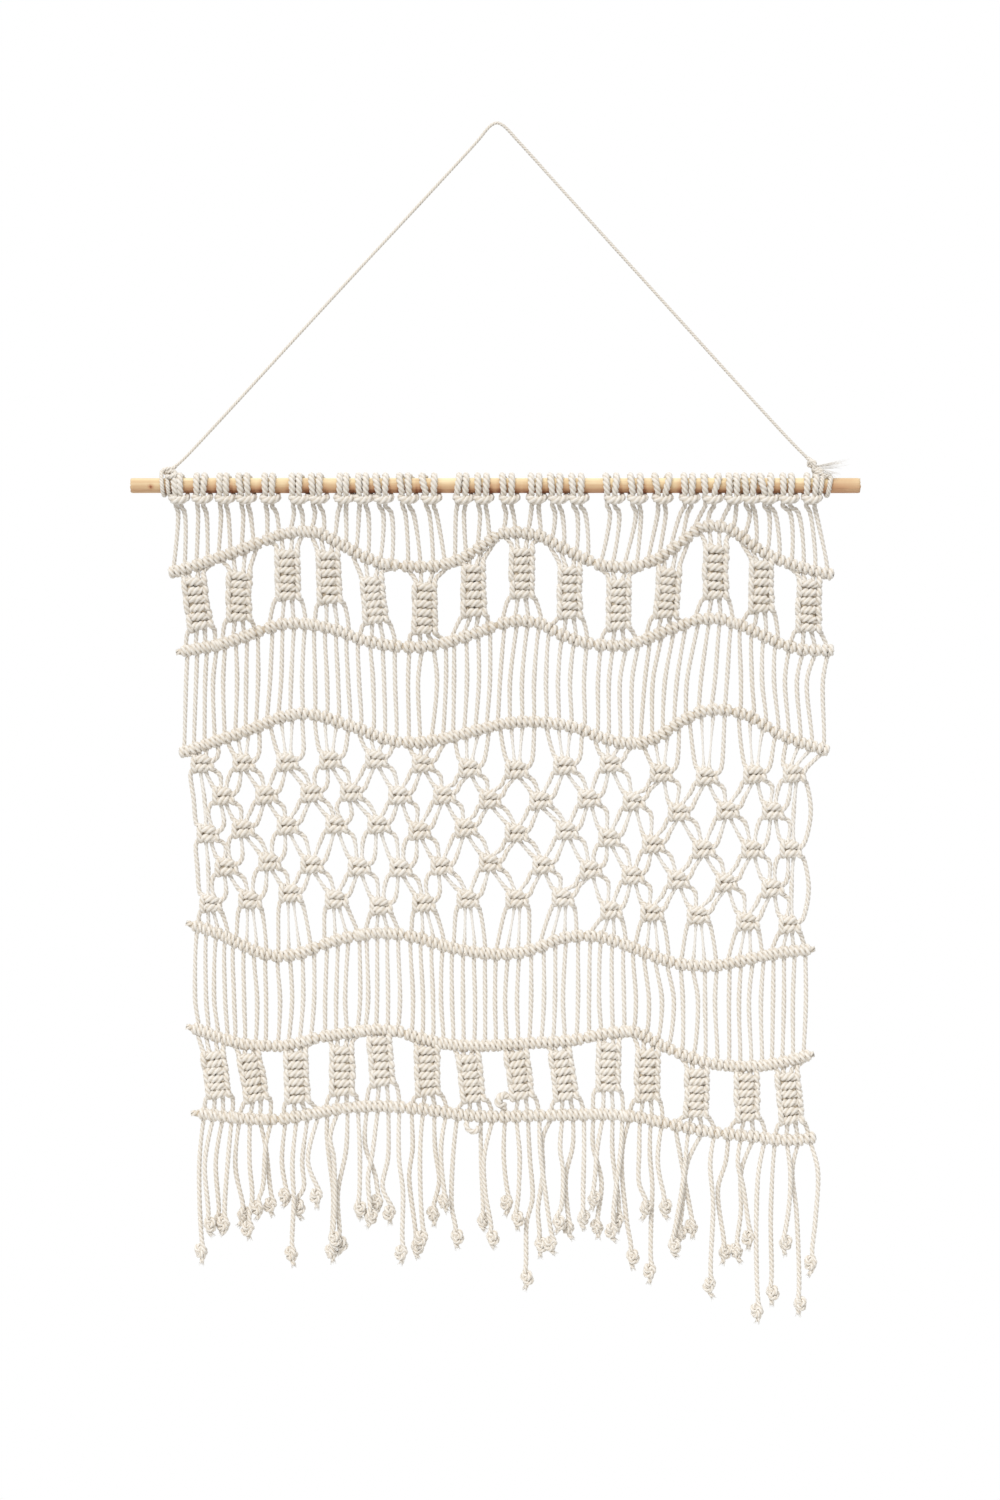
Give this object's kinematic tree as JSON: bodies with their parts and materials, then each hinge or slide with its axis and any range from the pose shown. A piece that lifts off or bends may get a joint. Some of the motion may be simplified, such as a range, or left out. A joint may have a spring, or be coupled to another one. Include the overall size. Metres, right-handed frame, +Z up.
{
  "type": "macrame wall hanging with wooden dowel and hanger cord",
  "caption": "Knotted cotton wall hanging on a round wooden dowel, with wavy ridged bars, sinnets, a diamond net, a knotted fringe and a hanger cord.",
  "frame": {"origin": "where a nail or hook bears on the hanger cord, under the top of its bend, midway between the panel's faces", "axes": "+Z up along the hanging's height, +X to the right across its width as seen from the front, +Y back through its thickness to the wall; the front faces -Y"},
  "size_m": [0.6101, 0.0218, 1.0059],
  "materials": {
    "cotton_cord": "matt twisted cotton, off-white",
    "hanger_cotton": "matt thin twisted cotton, off-white",
    "bare_wood": "bare pale wood, sanded"
  },
  "bodies": {
    "root": {"dowel": "bare_wood", "knotted_panel": "cotton_cord", "fringe": "cotton_cord", "hanger_cord": "hanger_cotton", "hanger_tie_left": "hanger_cotton", "hanger_tie_right": "hanger_cotton"}
  },
  "joints": []
}
